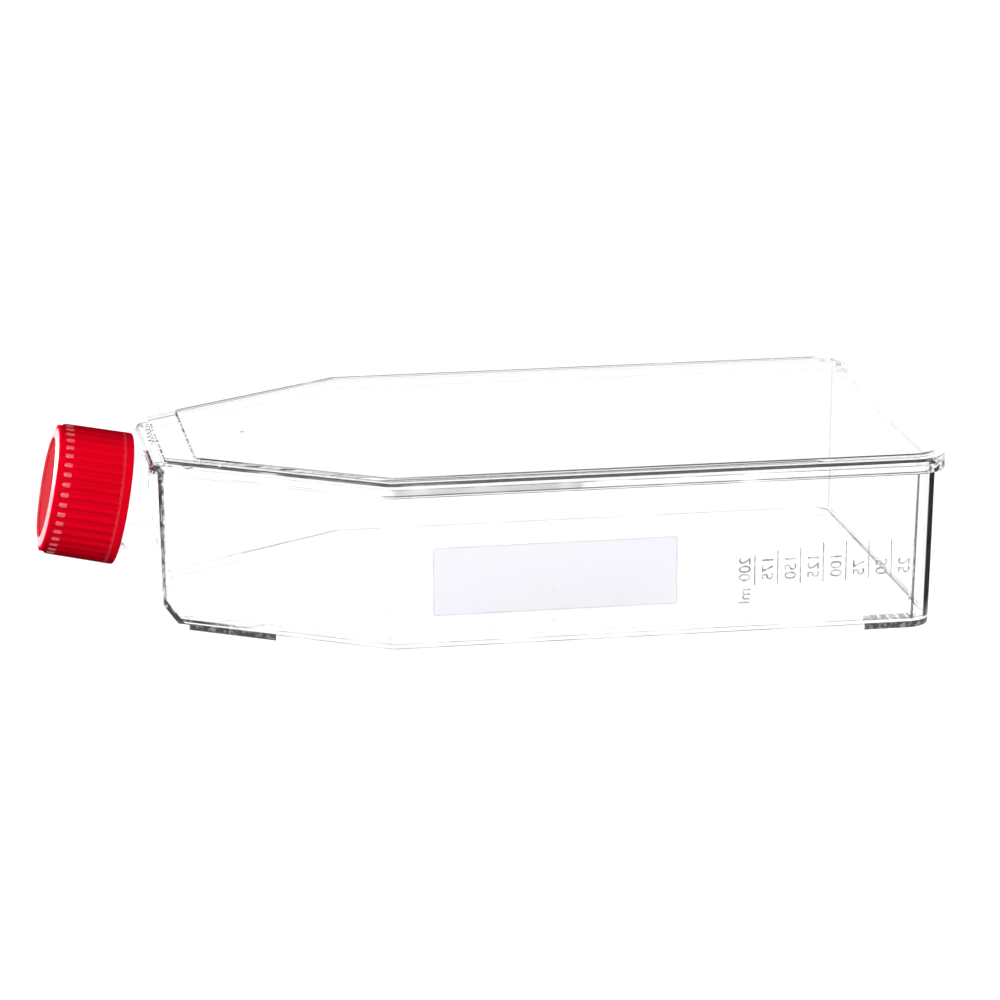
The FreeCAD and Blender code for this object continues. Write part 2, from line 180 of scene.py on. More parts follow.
paint, tree, surface = new_material(
    "floor_paint", {"Roughness": 0.9, "Specular IOR Level": 0.0, "Emission Color": WHITE}
)
sheet = map_range(tree, object_place(tree)["X"], SHEET_END + SHEET_FADE, SHEET_END)
off_sheet = math_node(tree, "SUBTRACT", 1.0, sheet)
ray = add_node(tree, "LightPath").outputs
mirrored = math_node(tree, "SUBTRACT", ray["Is Glossy Ray"], ray["Is Transmission Ray"], limit=True)
in_shine = math_node(tree, "MULTIPLY", off_sheet, mirrored)
floor_colour = ramp_by(tree, in_shine, [(0.0, PALE_GREY), (1.0, DARK_CARD)])
tree.links.new(floor_colour, surface.inputs["Base Color"])
lift = math_node(tree, "MULTIPLY", seen_directly(tree, sheet), FLOOR_LIFT)
tree.links.new(lift, surface.inputs["Emission Strength"])
floor_mesh.materials.append(paint)


def add_lamp(name, place, size, power):
    """A square soft lamp at a place, turned to the middle of the flask."""
    light = bpy.data.lights.new(name, "AREA")
    light.size = size
    light.energy = power
    lamp = bpy.data.objects.new(name, light)
    lamp.location = place
    lamp.rotation_euler = (-Vector(place)).to_track_quat("-Z", "Y").to_euler()
    scene.collection.objects.link(lamp)


add_lamp("key_lamp", (-1.3, 1.4, 0.5), size=1.0, power=30)
add_lamp("fill_lamp", (-0.4, -1.6, 0.9), size=1.2, power=14)

# ---------------------------------------------------------------- tray
# The lower moulding of clear polystyrene: growth floor, walls, feet, flange and neck in one piece.
# In a studio its edges and corners mirror dark cards. Here those dark reflections are painted into the
# plastic's colour at those places of the moulding instead, with painted shade on its feet and a painted grey
# stretch on the flange's side.


def new_effect(name, inputs, output):
    """An empty shader node group; inputs gives each socket's name and its usual value."""
    group = bpy.data.node_groups.new(name, "ShaderNodeTree")
    for label, value in inputs.items():
        socket = group.interface.new_socket(label, in_out="INPUT", socket_type="NodeSocketFloat")
        socket.default_value = value
    group.interface.new_socket(output, in_out="OUTPUT", socket_type="NodeSocketFloat")
    return group, group.nodes.new("NodeGroupInput").outputs, group.nodes.new("NodeGroupOutput").inputs


def use_effect(tree, group, values):
    """Place an effect's group in a material, with that material's own values."""
    made = add_node(tree, "Group", node_tree=group)
    for name, value in values.items():
        made.inputs[name].default_value = value
    return made.outputs[0]


# Moulding flow: faint waves drawn out along the flask, for the height of a bump.
flow, given, result = new_effect("moulding_flow", {"Waves": 40.0, "Stretch": 0.2}, "Height")
place = add_node(flow, "TexCoord").outputs["Object"]
stretch = add_node(flow, "CombineXYZ", {"X": given["Stretch"], "Y": 1.0, "Z": 1.0}).outputs[0]
drawn_out = add_node(flow, "VectorMath", {0: place, 1: stretch}, operation="MULTIPLY").outputs[0]
waves = add_node(flow, "TexNoise", {"Vector": drawn_out, "Scale": given["Waves"], "Detail": 0.0})
flow.links.new(waves.outputs[0], result["Height"])

# Specks: a mask of small scattered marks, such as dust and moulding pits.
SPECK_RADIUS = 0.28  # as a share of a cell
specks, given, result = new_effect("specks", {"Closeness": 900.0, "Share": 0.03}, "Mask")
place = add_node(specks, "TexCoord").outputs["Object"]
cells = add_node(specks, "TexVoronoi", {"Vector": place, "Scale": given["Closeness"]})
chosen = add_node(specks, "SeparateColor", {"Color": cells.outputs["Color"]}).outputs[0]
chosen = math_node(specks, "LESS_THAN", chosen, given["Share"])
near_middle = math_node(specks, "LESS_THAN", cells.outputs["Distance"], SPECK_RADIUS)
specks.links.new(math_node(specks, "MULTIPLY", chosen, near_middle), result["Mask"])


def absolute(tree, value):
    """A value without its sign."""
    return math_node(tree, "ABSOLUTE", value)


def inverse(tree, mask):
    """1 where the mask is 0, and 0 where it is 1."""
    return math_node(tree, "SUBTRACT", 1.0, mask, limit=True)


def product(tree, *masks):
    """Several masks multiplied."""
    whole = masks[0]
    for mask in masks[1:]:
        whole = math_node(tree, "MULTIPLY", whole, mask)
    return whole


def largest(tree, *masks):
    """The strongest of several masks."""
    whole = masks[0]
    for mask in masks[1:]:
        whole = math_node(tree, "MAXIMUM", whole, mask)
    return whole


def raised(tree, mask, least, most):
    """A mask made to run from least to most."""
    return math_node(tree, "ADD", math_node(tree, "MULTIPLY", mask, most - least), least)


def between(tree, value, low, high, soft):
    """A mask that is 1 from low to high and fades to 0 over a soft width outside them."""
    return product(
        tree,
        map_range(tree, value, low - soft, low, smooth=True),
        map_range(tree, value, high + soft, high, smooth=True),
    )


def shade_by(tree, value, low, high, stops):
    """A shade that follows stops, which are pairs of a value from low to high and a shade."""
    greys = [((step - low) / (high - low), (shade, shade, shade, 1)) for step, shade in stops]
    return ramp_by(tree, map_range(tree, value, low, high), greys)


def leaning(tree, first, second, lean):
    """Distance along a direction that leans from the first axis towards the second."""
    return math_node(
        tree,
        "ADD",
        math_node(tree, "MULTIPLY", first, cos(lean)),
        math_node(tree, "MULTIPLY", second, sin(lean)),
    )


def object_noise(tree, scale, detail=1.0):
    """Soft noise fixed to the object, mostly between 0.3 and 0.7."""
    place = add_node(tree, "TexCoord").outputs["Object"]
    return add_node(tree, "TexNoise", {"Vector": place, "Scale": scale, "Detail": detail}).outputs[0]


def read_surface(tree):
    """What the masks are made from: a point's place, the way it faces and a patchy pattern."""
    place = object_place(tree)
    geometry = add_node(tree, "NewGeometry").outputs
    normal = add_node(tree, "SeparateXYZ", {0: geometry["Normal"]}).outputs
    return SimpleNamespace(
        x=place["X"],
        y=place["Y"],
        z=place["Z"],
        off_middle=absolute(tree, place["Y"]),
        normal_x=normal["X"],
        normal_y=normal["Y"],
        normal_z=normal["Z"],
        lengthwise=absolute(tree, normal["X"]),
        upness=absolute(tree, normal["Z"]),
        from_inside=geometry["Backfacing"],
        from_outside=inverse(tree, geometry["Backfacing"]),
        patchy=map_range(tree, object_noise(tree, scale=90.0), 0.25, 0.55),
    )


# Tints of the clear plastic: clear, and the half and full dark that are painted into it as dark reflections
# and shade.
CLEAR = (0.99, 0.995, 0.995, 1)
HALF_DARK = (0.06, 0.062, 0.07, 1)
DARK_EDGE = (0.0005, 0.0005, 0.0008, 1)
POLYSTYRENE_IOR = 1.59
SHADOW_CLEARNESS = (0.97, 0.97, 0.97, 1)
DUST_ROUGHNESS = 0.35


def clear_plastic(name, find_dark, find_faint=None):
    """Clear polystyrene; find_dark makes the mask of the places where dark reflections and shade are painted
    into its colour, find_faint of those where it can hardly be seen."""
    material, tree, plastic = new_material(name, {"IOR": POLYSTYRENE_IOR, "Transmission Weight": 1.0})
    tint = ramp_by(tree, find_dark(tree), [(0.0, CLEAR), (0.5, HALF_DARK), (1.0, DARK_EDGE)])
    tree.links.new(tint, plastic.inputs["Base Color"])
    if find_faint is not None:
        tree.links.new(inverse(tree, find_faint(tree)), plastic.inputs["Alpha"])

    dust = use_effect(tree, specks, {"Closeness": 700.0, "Share": 0.004})
    tree.links.new(math_node(tree, "MULTIPLY", dust, DUST_ROUGHNESS), plastic.inputs["Roughness"])
    waves = use_effect(tree, flow, {"Waves": 40.0, "Stretch": 0.2})
    bump = add_node(tree, "Bump", {"Strength": 0.02, "Distance": 1 * MM, "Height": waves})
    tree.links.new(bump.outputs["Normal"], plastic.inputs["Normal"])

    passing = add_node(tree, "BsdfTransparent", {"Color": SHADOW_CLEARNESS})
    in_shadow = add_node(tree, "LightPath").outputs["Is Shadow Ray"]
    mixed = add_node(tree, "MixShader", {0: in_shadow, 1: plastic.outputs[0], 2: passing.outputs[0]})
    tree.links.new(mixed.outputs[0], tree.nodes["Material Output"].inputs["Surface"])
    return material


def finish_node(name, material):
    """Give a part of the frame its material."""
    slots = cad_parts[name].data.materials
    slots.clear()
    slots.append(material)


BODY_LENGTH = 189.0 * MM
HALF_WIDTH = 54.5 * MM
FLANGE_OVERHANG = 2.4 * MM
FRONT_WALL_X = cad_high[0] - FLANGE_OVERHANG - BODY_LENGTH
FOOT_HEIGHT = 1.5 * MM
FLOOR_TOP = 3.5 * MM
WALL_TOP = 39.9 * MM
FLANGE_TOP = 42.2 * MM
RAMP_LENGTH = 4.0 * MM
RAMP_TOP = 6.6 * MM
RAMP_TURN = atan((RAMP_TOP - FOOT_HEIGHT) / RAMP_LENGTH)
RAMP_FACE = RAMP_TOP * cos(RAMP_TURN) + FRONT_WALL_X * sin(RAMP_TURN)  # square to the ramp
FRONT_FEET = (FRONT_WALL_X + RAMP_LENGTH, FRONT_WALL_X + 26.6 * MM)
REAR_FEET_X = FRONT_WALL_X + BODY_LENGTH - 18.5 * MM
REAR_FEET_Y = HALF_WIDTH - 16.0 * MM
FEET_SHADE_TOP = FOOT_HEIGHT + 0.4 * MM
FOOT_FADE = 0.2 * MM
LINE_FADE = 0.05 * MM  # beside a thin line
REAR_CORNER = (103 * MM, 105 * MM)  # from where to where the rear corners' marks set in
SHOULDER_END = (-30 * MM, -27 * MM)  # where the shoulder passes into the long side
GREY_STRETCH = (-27 * MM, 17 * MM)  # of the flange's side, where it looks grey
REAR_FLANGE_X = 105.6 * MM  # from here back the flange runs across the flask
FRONT_CORNER_REACH = 6 * MM
GLINT_STRIP = (17.2 * MM, 18.4 * MM)  # off the middle, where the glints beside a front corner set in
INSIDE_CORNER_SHADE = 0.35
LOWER_EDGE_SHADE = 0.8
SEAM_SHADE = 0.6
FLANGE_SIDE_SHADE = 0.36
FLANGE_FAINTNESS = 0.8
# The way an upright wall faces, from -1 at the neck to 1 at the rear, and how dark it is painted there
CURVED_WALLS = [
    (-0.53, 0), (-0.47, 1), (-0.10, 1), (-0.04, 0), (0.06, 0), (0.12, 1), (0.93, 1), (0.99, 0)
]
# The same for the front corners: two painted dark lines with a lighter ladder between them
FRONT_CORNERS = [(-0.985, 0), (-0.93, 0.95), (-0.87, 0.3), (-0.76, 0.3), (-0.69, 0.95), (-0.60, 0)]
# How far a corner is turned from the eye, and how dark it is painted: a thin line, then a full band
CORNER_LINES = [(0.105, 0), (0.118, 0.7), (0.132, 0.7), (0.145, 0), (0.41, 0), (0.47, 1)]


def tray_corners(tree, at):
    """Painted dark reflections in the upright corners, where the walls are curved."""
    facing = add_node(tree, "LayerWeight", {"Blend": 0.5}).outputs["Facing"]
    rounded = product(
        tree,
        shade_by(tree, at.normal_x, -1.0, 1.0, CURVED_WALLS),
        shade_by(tree, facing, 0.0, 1.0, CORNER_LINES),
        between(tree, at.z, 2.6 * MM, WALL_TOP - 0.5 * MM, 0.5 * MM),
    )
    front_end = FRONT_WALL_X + FRONT_CORNER_REACH
    front = product(
        tree,
        shade_by(tree, at.normal_x, -1.0, 1.0, FRONT_CORNERS),
        raised(tree, at.rough, 0.5, 1.0),
        map_range(tree, at.x, front_end + 1 * MM, front_end),
        map_range(tree, at.z, WALL_TOP, WALL_TOP - 0.3 * MM),
    )
    return product(tree, largest(tree, rounded, front), at.upright, at.outward, at.from_outside)


def tray_feet(tree, at):
    """Painted shade on the feet, on a line over the front ones, and at the end of the ramp between floor and
    front wall.
    """
    front_feet = between(tree, at.x, *FRONT_FEET, FOOT_FADE)
    rear_feet = product(
        tree,
        map_range(tree, at.x, REAR_FEET_X, REAR_FEET_X + FOOT_FADE),
        map_range(tree, at.off_middle, REAR_FEET_Y, REAR_FEET_Y + FOOT_FADE),
    )
    feet = product(
        tree,
        largest(tree, front_feet, rear_feet),
        map_range(tree, at.z, FEET_SHADE_TOP, FEET_SHADE_TOP - FOOT_FADE),
    )
    over_feet = product(
        tree,
        map_range(tree, at.x, FRONT_FEET[1] - 4 * MM, FRONT_FEET[0] + 6 * MM),
        between(tree, at.z, 2.2 * MM, 2.8 * MM, 0.1 * MM),
    )
    feet = product(tree, largest(tree, feet, over_feet), raised(tree, at.rough, 0.6, 1.0))
    off_ramp = leaning(tree, at.z, at.x, RAMP_TURN)
    ramp_end = map_range(tree, off_ramp, RAMP_FACE + 1.5 * MM, RAMP_FACE + 1.3 * MM)
    ramp_end = product(tree, ramp_end, at.rough)
    return product(tree, largest(tree, feet, ramp_end), at.outward, at.first_met)


def tray_painted_glints(tree, at):
    """Painted dark glints, broken into specks, beside the front wall's corners and on the flange's rear
    corners.
    """
    beside_front = product(
        tree,
        map_range(tree, at.x, FRONT_WALL_X + 1.5 * MM, FRONT_WALL_X + 1 * MM),
        map_range(tree, at.off_middle, *GLINT_STRIP),
        between(tree, at.z, 9.0 * MM, FLANGE_TOP, 0.1 * MM),
    )
    on_rear_corner = product(
        tree,
        map_range(tree, at.x, *REAR_CORNER),
        map_range(tree, at.off_middle, 50 * MM, 52 * MM),
        between(tree, at.z, WALL_TOP - 0.2 * MM, FLANGE_TOP, 0.1 * MM),
        at.outward,
    )
    return product(tree, largest(tree, beside_front, on_rear_corner), at.speckled, at.first_met)


def tray_lines(tree, at):
    """Thin painted dark lines: two edges at the foot of the walls, the growth floor's edge all round, and the
    inside of the rear corners."""
    foot_lines = product(
        tree,
        largest(
            tree,
            between(tree, at.z, FOOT_HEIGHT, FOOT_HEIGHT + 0.25 * MM, LINE_FADE),
            between(tree, at.z, 2.65 * MM, 2.85 * MM, LINE_FADE),
        ),
        map_range(tree, at.x, FRONT_FEET[1], FRONT_FEET[1] + 1 * MM),
        at.outward,
        at.first_met,
        raised(tree, at.patchy, 0.10, 0.45),
    )
    inward = largest(
        tree,
        map_range(tree, product(tree, at.y, at.normal_y), 0.0, -5 * MM),
        product(
            tree,
            map_range(tree, at.normal_x, 0.2, -0.2),
            map_range(tree, at.x, 90 * MM, 100 * MM),
        ),
    )
    to_rear = map_range(tree, at.x, 102 * MM, 105 * MM)
    floor_share = math_node(
        tree,
        "ADD",
        math_node(tree, "MULTIPLY", at.patchy, 0.28),
        math_node(tree, "MULTIPLY", to_rear, 0.25),
    )
    floor_line = product(
        tree,
        between(tree, at.z, FLOOR_TOP + 0.03 * MM, FLOOR_TOP + 0.22 * MM, 0.03 * MM),
        floor_share,
    )
    inside_corner = product(
        tree,
        between(tree, at.normal_x, -0.985, -0.955, 0.01),
        map_range(tree, at.x, 100 * MM, 101 * MM),
        at.upright,
        at.through_plastic,
        INSIDE_CORNER_SHADE,
    )
    inside = product(tree, largest(tree, floor_line, inside_corner), inward, at.from_outside)
    return largest(tree, foot_lines, inside)


def flange_edges(tree, at):
    """Painted dark lines on the flange's lower edge and on the seam under the plate, and a painted grey
    stretch of its side.
    """
    beside = map_range(tree, at.lengthwise, 0.65, 0.55)
    past_shoulder = map_range(tree, at.x, *SHOULDER_END)
    share = product(tree, at.patchy, math_node(tree, "ADD", past_shoulder, 0.35, limit=True))
    lower_edge = between(tree, at.z, WALL_TOP - 0.1 * MM, WALL_TOP + 0.2 * MM, LINE_FADE)
    seam = between(tree, at.z, FLANGE_TOP - 0.15 * MM, FLANGE_TOP, LINE_FADE)
    side = product(
        tree,
        between(tree, at.z, 40.7 * MM, FLANGE_TOP - 0.2 * MM, 0.3 * MM),
        between(tree, at.x, *GREY_STRETCH, 3 * MM),
        raised(tree, at.patchy, 0.6, 1.0),
        at.from_outside,
        FLANGE_SIDE_SHADE,
    )
    edges = largest(
        tree,
        product(tree, lower_edge, share, LOWER_EDGE_SHADE),
        product(tree, seam, share, SEAM_SHADE),
        side,
    )
    return product(tree, edges, at.outward, beside)


def tray_painted_dark(tree):
    """All the places where dark is painted into the tray's colour."""
    at = read_surface(tree)
    fine = object_noise(tree, scale=800.0)
    ray = add_node(tree, "LightPath").outputs
    at.rough = map_range(tree, fine, 0.30, 0.50)
    at.speckled = map_range(tree, fine, 0.62, 0.38)
    at.upright = map_range(tree, at.upness, 0.35, 0.25)
    at.outward = map_range(tree, product(tree, at.y, at.normal_y), 0.0, 10 * MM)
    at.first_met = math_node(tree, "LESS_THAN", ray["Ray Depth"], 0.5)
    at.through_plastic = ray["Is Transmission Ray"]
    return largest(
        tree,
        tray_corners(tree, at),
        tray_feet(tree, at),
        tray_painted_glints(tree, at),
        tray_lines(tree, at),
        flange_edges(tree, at),
    )


def tray_faintness(tree):
    """The flange along the rear wall."""
    place = object_place(tree)
    return product(
        tree,
        map_range(tree, place["X"], REAR_FLANGE_X, REAR_FLANGE_X + 0.2 * MM),
        map_range(tree, absolute(tree, place["Y"]), 50 * MM, 48 * MM),
        map_range(tree, place["Z"], WALL_TOP, WALL_TOP + 0.3 * MM),
        FLANGE_FAINTNESS,
    )


finish_node("flask_tray", clear_plastic("clear_polystyrene_tray", tray_painted_dark, tray_faintness))

# ---------------------------------------------------------------- cover plate
# The lid of the same clear polystyrene, welded on the tray's flange. Its rim and the raised panel have
# rounded edges. Along the flask, dark reflections are painted into the plastic's colour on them; across it
# they are made faint.

RIM_TOP = 43.75 * MM
PANEL_TOP = 44.6 * MM
PANEL_SIDE = HALF_WIDTH
PANEL_SHOULDER = 61.1 * MM  # from the middle of the plate, square to a shoulder
SHOULDER_LENGTH = 52.9 * MM
FRONT_HALF_WIDTH = 20.0 * MM
SHOULDER_TURN = atan((HALF_WIDTH - FRONT_HALF_WIDTH) / SHOULDER_LENGTH)
RIM_LINE = 0.25 * MM  # height of the dark line under the rim's edge
THICK_RIM_LINE = 0.75 * MM
PANEL_LINE = 0.3 * MM
RIM_SHADE = 0.95
REAR_RIM_GAP = 0.6  # share of the rim's line that is missing at the rear corners
FRONT_BEVEL_SHADE = 0.5
EDGE_FAINTNESS = 0.86
STEP_FAINTNESS = 0.94
PANEL_STRIP = (1.6 * MM, 1.5 * MM)  # in from the panel's far edges, where the dark strip sets in


def rim_edges(tree, at):
    """The rim's outer edge: a thin painted dark line, thicker along the straight side and broken at the rear.
    """
    thin_line = between(tree, at.z, RIM_TOP - RIM_LINE, RIM_TOP, LINE_FADE)
    thick_line = between(tree, at.z, RIM_TOP - THICK_RIM_LINE, RIM_TOP, LINE_FADE)
    whole = largest(tree, thin_line, product(tree, thick_line, largest(tree, at.straight, at.patchy)))
    at_corner = map_range(tree, at.x, *REAR_CORNER)
    # Less of the painted dark line at the rear corners, and painted dark patches just above the rim there.
    ink_wear_and_rim_gap = math_node(tree, "MULTIPLY", at_corner, REAR_RIM_GAP)
    rim_line_with_gap = math_node(tree, "SUBTRACT", whole, ink_wear_and_rim_gap, limit=True)
    above = map_range(tree, at.z, RIM_TOP + 0.1 * MM, RIM_TOP)
    return largest(tree, rim_line_with_gap, product(tree, at_corner, above, at.rough, at.from_outside))


def panel_edges(tree, at):
    """The panel's top edge: a painted dark line, stronger towards the rear and close to the neck."""
    along_side = largest(
        tree,
        raised(tree, at.straight, 0.2, 0.6),
        map_range(tree, at.x, -58 * MM, -66 * MM),
    )
    to_rear = map_range(tree, at.x, -10 * MM, 90 * MM)
    share = math_node(tree, "ADD", math_node(tree, "MULTIPLY", to_rear, 0.4), along_side, limit=True)
    line = between(tree, at.z, PANEL_TOP - PANEL_LINE, PANEL_TOP, LINE_FADE)
    return product(tree, line, raised(tree, at.patchy, 0.7, 1.0), share)


def panel_strip(tree, at):
    """A painted dark strip of the panel's top along its far edges, beside the long wall and the shoulder."""
    to_shoulder = leaning(tree, at.y, at.x, -SHOULDER_TURN)
    return product(
        tree,
        largest(
            tree,
            map_range(tree, at.y, *(PANEL_SIDE - inset for inset in PANEL_STRIP)),
            map_range(tree, to_shoulder, *(PANEL_SHOULDER - inset for inset in PANEL_STRIP)),
        ),
        map_range(tree, at.normal_z, 0.90, 0.95),
        map_range(tree, at.z, PANEL_TOP - 0.06 * MM, PANEL_TOP - 0.04 * MM),
        map_range(tree, at.x, 104 * MM, 101 * MM),
        map_range(tree, at.y, 0.0, 1 * MM),
        raised(tree, at.patchy, 0.38, 0.78),
    )


def plate_painted_dark(tree):
    """All the places where dark is painted into the cover plate's colour."""
    at = read_surface(tree)
    at.rough = map_range(tree, object_noise(tree, scale=700.0), 0.40, 0.56)
    at.straight = map_range(tree, at.x, -30 * MM, -10 * MM)
    far_side = product(
        tree,
        at.from_inside,
        map_range(tree, at.normal_y, -0.3, -0.5),
        map_range(tree, at.y, 5 * MM, 8 * MM),
        map_range(tree, at.z, RIM_TOP - THICK_RIM_LINE, RIM_TOP - THICK_RIM_LINE + 0.1 * MM),
    )
    sideways = product(
        tree, map_range(tree, at.upness, 0.985, 0.95), map_range(tree, at.lengthwise, 0.70, 0.60)
    )
    sides = product(
        tree,
        sideways,
        largest(
            tree,
            math_node(tree, "MULTIPLY", rim_edges(tree, at), RIM_SHADE),
            panel_edges(tree, at),
            far_side,
        ),
    )
    front_bevel = product(
        tree,
        between(tree, at.z, RIM_TOP - 0.08 * MM, RIM_TOP, 0.02 * MM),
        map_range(tree, at.normal_x, -0.45, -0.60),
        at.rough,
        FRONT_BEVEL_SHADE,
    )
    return largest(tree, sides, front_bevel, panel_strip(tree, at))


def plate_faintness(tree):
    """Steps and bevels that run across the plate, and the foot of the panel's sides."""
    at = read_surface(tree)
    to_side = absolute(tree, at.normal_y)
    across_plate = product(
        tree,
        map_range(tree, at.lengthwise, 0.40, 0.60),
        map_range(tree, to_side, 0.35, 0.20),
        map_range(tree, at.z, RIM_TOP + 5 * MM, RIM_TOP),
    )
    panel_side = product(
        tree,
        map_range(tree, to_side, 0.5, 0.7),
        between(tree, at.z, RIM_TOP, PANEL_TOP - PANEL_LINE, 0.02 * MM),
    )
    rear_rim = product(
        tree,
        between(tree, at.x, REAR_FLANGE_X, 109.7 * MM, 0.2 * MM),
        map_range(tree, at.off_middle, 52 * MM, 50 * MM),
    )
    front_edge = map_range(tree, at.x, -79.4 * MM, -79.6 * MM)
    return largest(
        tree,
        math_node(tree, "MULTIPLY", largest(tree, panel_side, rear_rim, front_edge), EDGE_FAINTNESS),
        math_node(tree, "MULTIPLY", across_plate, STEP_FAINTNESS),
    )


finish_node("cover_plate", clear_plastic("clear_polystyrene_plate", plate_painted_dark, plate_faintness))

# ---------------------------------------------------------------- neck thread
# The screw thread moulded round the neck: a blunt ridge of two and a half turns in the same clear
# polystyrene, fading out at both ends. The cap's own thread runs between its turns.

NECK_LEAN = radians(11.7)
NECK_ROOT = (FRONT_WALL_X, 0, 26.9 * MM)
NECK_FRAME = Matrix.Translation(NECK_ROOT) @ Matrix.Rotation(
    -pi / 2 + NECK_LEAN, 4, "Y"
)  # Z of a piece made upright runs out along the neck
PITCH = 4.0 * MM
STEPS_PER_TURN = 72
FADE_STEPS = 8
RIDGE_FOOT = 2.0 * MM  # width of a ridge where it stands on the wall
RIDGE_TOP = 0.7 * MM
THREAD_START = 9.6 * MM
EDGE_BAND = 0.25 * MM
RIDGE_SHADE = 0.5


def thread_painted_dark(tree):
    """Painted dark reflections on the ridge's edges, where a rounded normal leaves the true one."""
    rounded = add_node(tree, "Bevel", {"Radius": EDGE_BAND}, samples=6).outputs[0]
    true_normal = add_node(tree, "NewGeometry").outputs["Normal"]
    turned = add_node(tree, "VectorMath", {0: rounded, 1: true_normal}, operation="DOT_PRODUCT")
    edges = map_range(tree, absolute(tree, turned.outputs["Value"]), 0.995, 0.85)
    return math_node(tree, "MULTIPLY", edges, RIDGE_SHADE)


def add_piece(name, bm, body, material, place=None):
    """Finish a piece's mesh, set it in place and let it ride on its body."""
    if place is not None:
        bm.transform(place)
    bmesh.ops.recalc_face_normals(bm, faces=bm.faces)
    mesh = bpy.data.meshes.new(name)
    bm.to_mesh(mesh)
    bm.free()
    mesh.materials.append(material)
    piece = bpy.data.objects.new(name, mesh)
    scene.collection.objects.link(piece)
    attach(piece, body)
    return piece


def thread_ridge(root, crest, turns, phase):
    """A helical ridge round Z from radius root to crest; its first and last parts fade to the root."""
    bm = bmesh.new()
    half_foot = RIDGE_FOOT / 2
    half_top = RIDGE_TOP / 2
    profile = [(root, -half_foot), (crest, -half_top), (crest, half_top), (root, half_foot)]
    corners = [bm.verts.new((radius, 0, THREAD_START + rise)) for radius, rise in profile]
    outline = [bm.edges.new((corners[i], corners[(i + 1) % 4])) for i in range(4)]
    steps = round(turns * STEPS_PER_TURN)
    bmesh.ops.rotate(bm, cent=(0, 0, 0), matrix=Matrix.Rotation(phase, 3, "Z"), verts=corners)
    bmesh.ops.spin(
        bm,
        geom=corners + outline,
        cent=(0, 0, 0),
        axis=(0, 0, 1),
        dvec=(0, 0, PITCH / STEPS_PER_TURN),
        angle=2 * pi * turns,
        steps=steps,
        use_duplicate=False,
    )
    for index, vert in enumerate(bm.verts):
        section = index // len(profile)
        height = min(section, steps - section) / FADE_STEPS
        if height < 1:
            radius = Vector(vert.co[:2]).length
            lowered = (root + (radius - root) * height) / radius
            vert.co = (vert.co.x * lowered, vert.co.y * lowered, vert.co.z)
    bmesh.ops.holes_fill(bm, edges=[edge for edge in bm.edges if edge.is_boundary], sides=4)
    return bm


neck_thread = thread_ridge(root=12.45 * MM, crest=13.75 * MM, turns=2.6, phase=0.0)
thread_plastic = clear_plastic("clear_polystyrene_thread", thread_painted_dark)
add_piece("neck_thread", neck_thread, "flask", thread_plastic, NECK_FRAME)

# ---------------------------------------------------------------- writing patch
# A rectangle of frosted white ink printed on the near wall, for notes in pencil or marker.
# A slightly heavier line of ink runs round its edge.

WALL_LEAN = tan(radians(1.2))
INK = 0.03 * MM
INK_OFF_WALL = 0.01 * MM
INK_MIDDLE = INK_OFF_WALL + INK / 2


def on_near_wall(bm):
    """Lay what was drawn flat, X along and Y up, on the near wall, its thickness outwards."""
    for vert in bm.verts:
        along, up, out = vert.co
        wall = -(HALF_WIDTH - (WALL_TOP - up) * WALL_LEAN)
        vert.co = (along, wall - out, up)


def block(size, middle):
    """A box of the given size round its middle."""
    bm = bmesh.new()
    bmesh.ops.create_cube(bm, size=1.0)
    bmesh.ops.scale(bm, vec=size, verts=bm.verts)
    bmesh.ops.translate(bm, vec=middle, verts=bm.verts)
    return bm


PATCH_LEFT, PATCH_RIGHT = -18.3 * MM, 42.0 * MM
PATCH_FOOT, PATCH_HEAD = 9.5 * MM, 26.7 * MM
PATCH_CORNER = 0.6 * MM
PATCH_BORDER = 0.30 * MM
patch = block(
    (PATCH_RIGHT - PATCH_LEFT, PATCH_HEAD - PATCH_FOOT, INK),
    ((PATCH_LEFT + PATCH_RIGHT) / 2, (PATCH_FOOT + PATCH_HEAD) / 2, INK_MIDDLE),
)
upright_edges = [edge for edge in patch.edges if edge.calc_length() < 2 * INK]
bmesh.ops.bevel(
    patch, geom=upright_edges, offset=PATCH_CORNER, segments=4, profile=0.5, affect="EDGES", material=-1
)
printed_face = [face for face in patch.faces if face.normal.z > 0.5]
bmesh.ops.inset_region(patch, faces=printed_face, thickness=PATCH_BORDER)
for face in patch.faces:
    frosted_face = face in printed_face or face.normal.z < -0.5
    face.material_index = 0 if frosted_face else 1
on_near_wall(patch)

frosted, tree, ink = new_material(
    "frosted_ink", {"Roughness": 0.2, "Transmission Weight": 1.0, "IOR": 1.08}
)
cloud = object_noise(tree, scale=60.0, detail=3.0)
thin_and_thick = [(0.3, (0.897, 0.873, 0.921, 1)), (0.7, (0.907, 0.883, 0.929, 1))]
tree.links.new(ramp_by(tree, cloud, thin_and_thick), ink.inputs["Base Color"])

border, tree, ink = new_material(
    "border_ink", {"Roughness": 0.5, "Transmission Weight": 0.8, "IOR": 1.3}
)
cloud = map_range(tree, object_noise(tree, scale=300.0), 0.3, 0.7)
thin_and_thick = [(0.0, (0.60, 0.58, 0.66, 1)), (1.0, (0.84, 0.83, 0.87, 1))]
tree.links.new(ramp_by(tree, cloud, thin_and_thick), ink.inputs["Base Color"])
writing_patch = add_piece("writing_patch", patch, "flask", frosted)
writing_patch.data.materials.append(border)

# ---------------------------------------------------------------- volume scale
# Eight graduation lines and their numbers, printed thin and grey on the near wall. They read with
# the flask stood on its rear wall, and from the inside, as print on the far face of a clear wall.

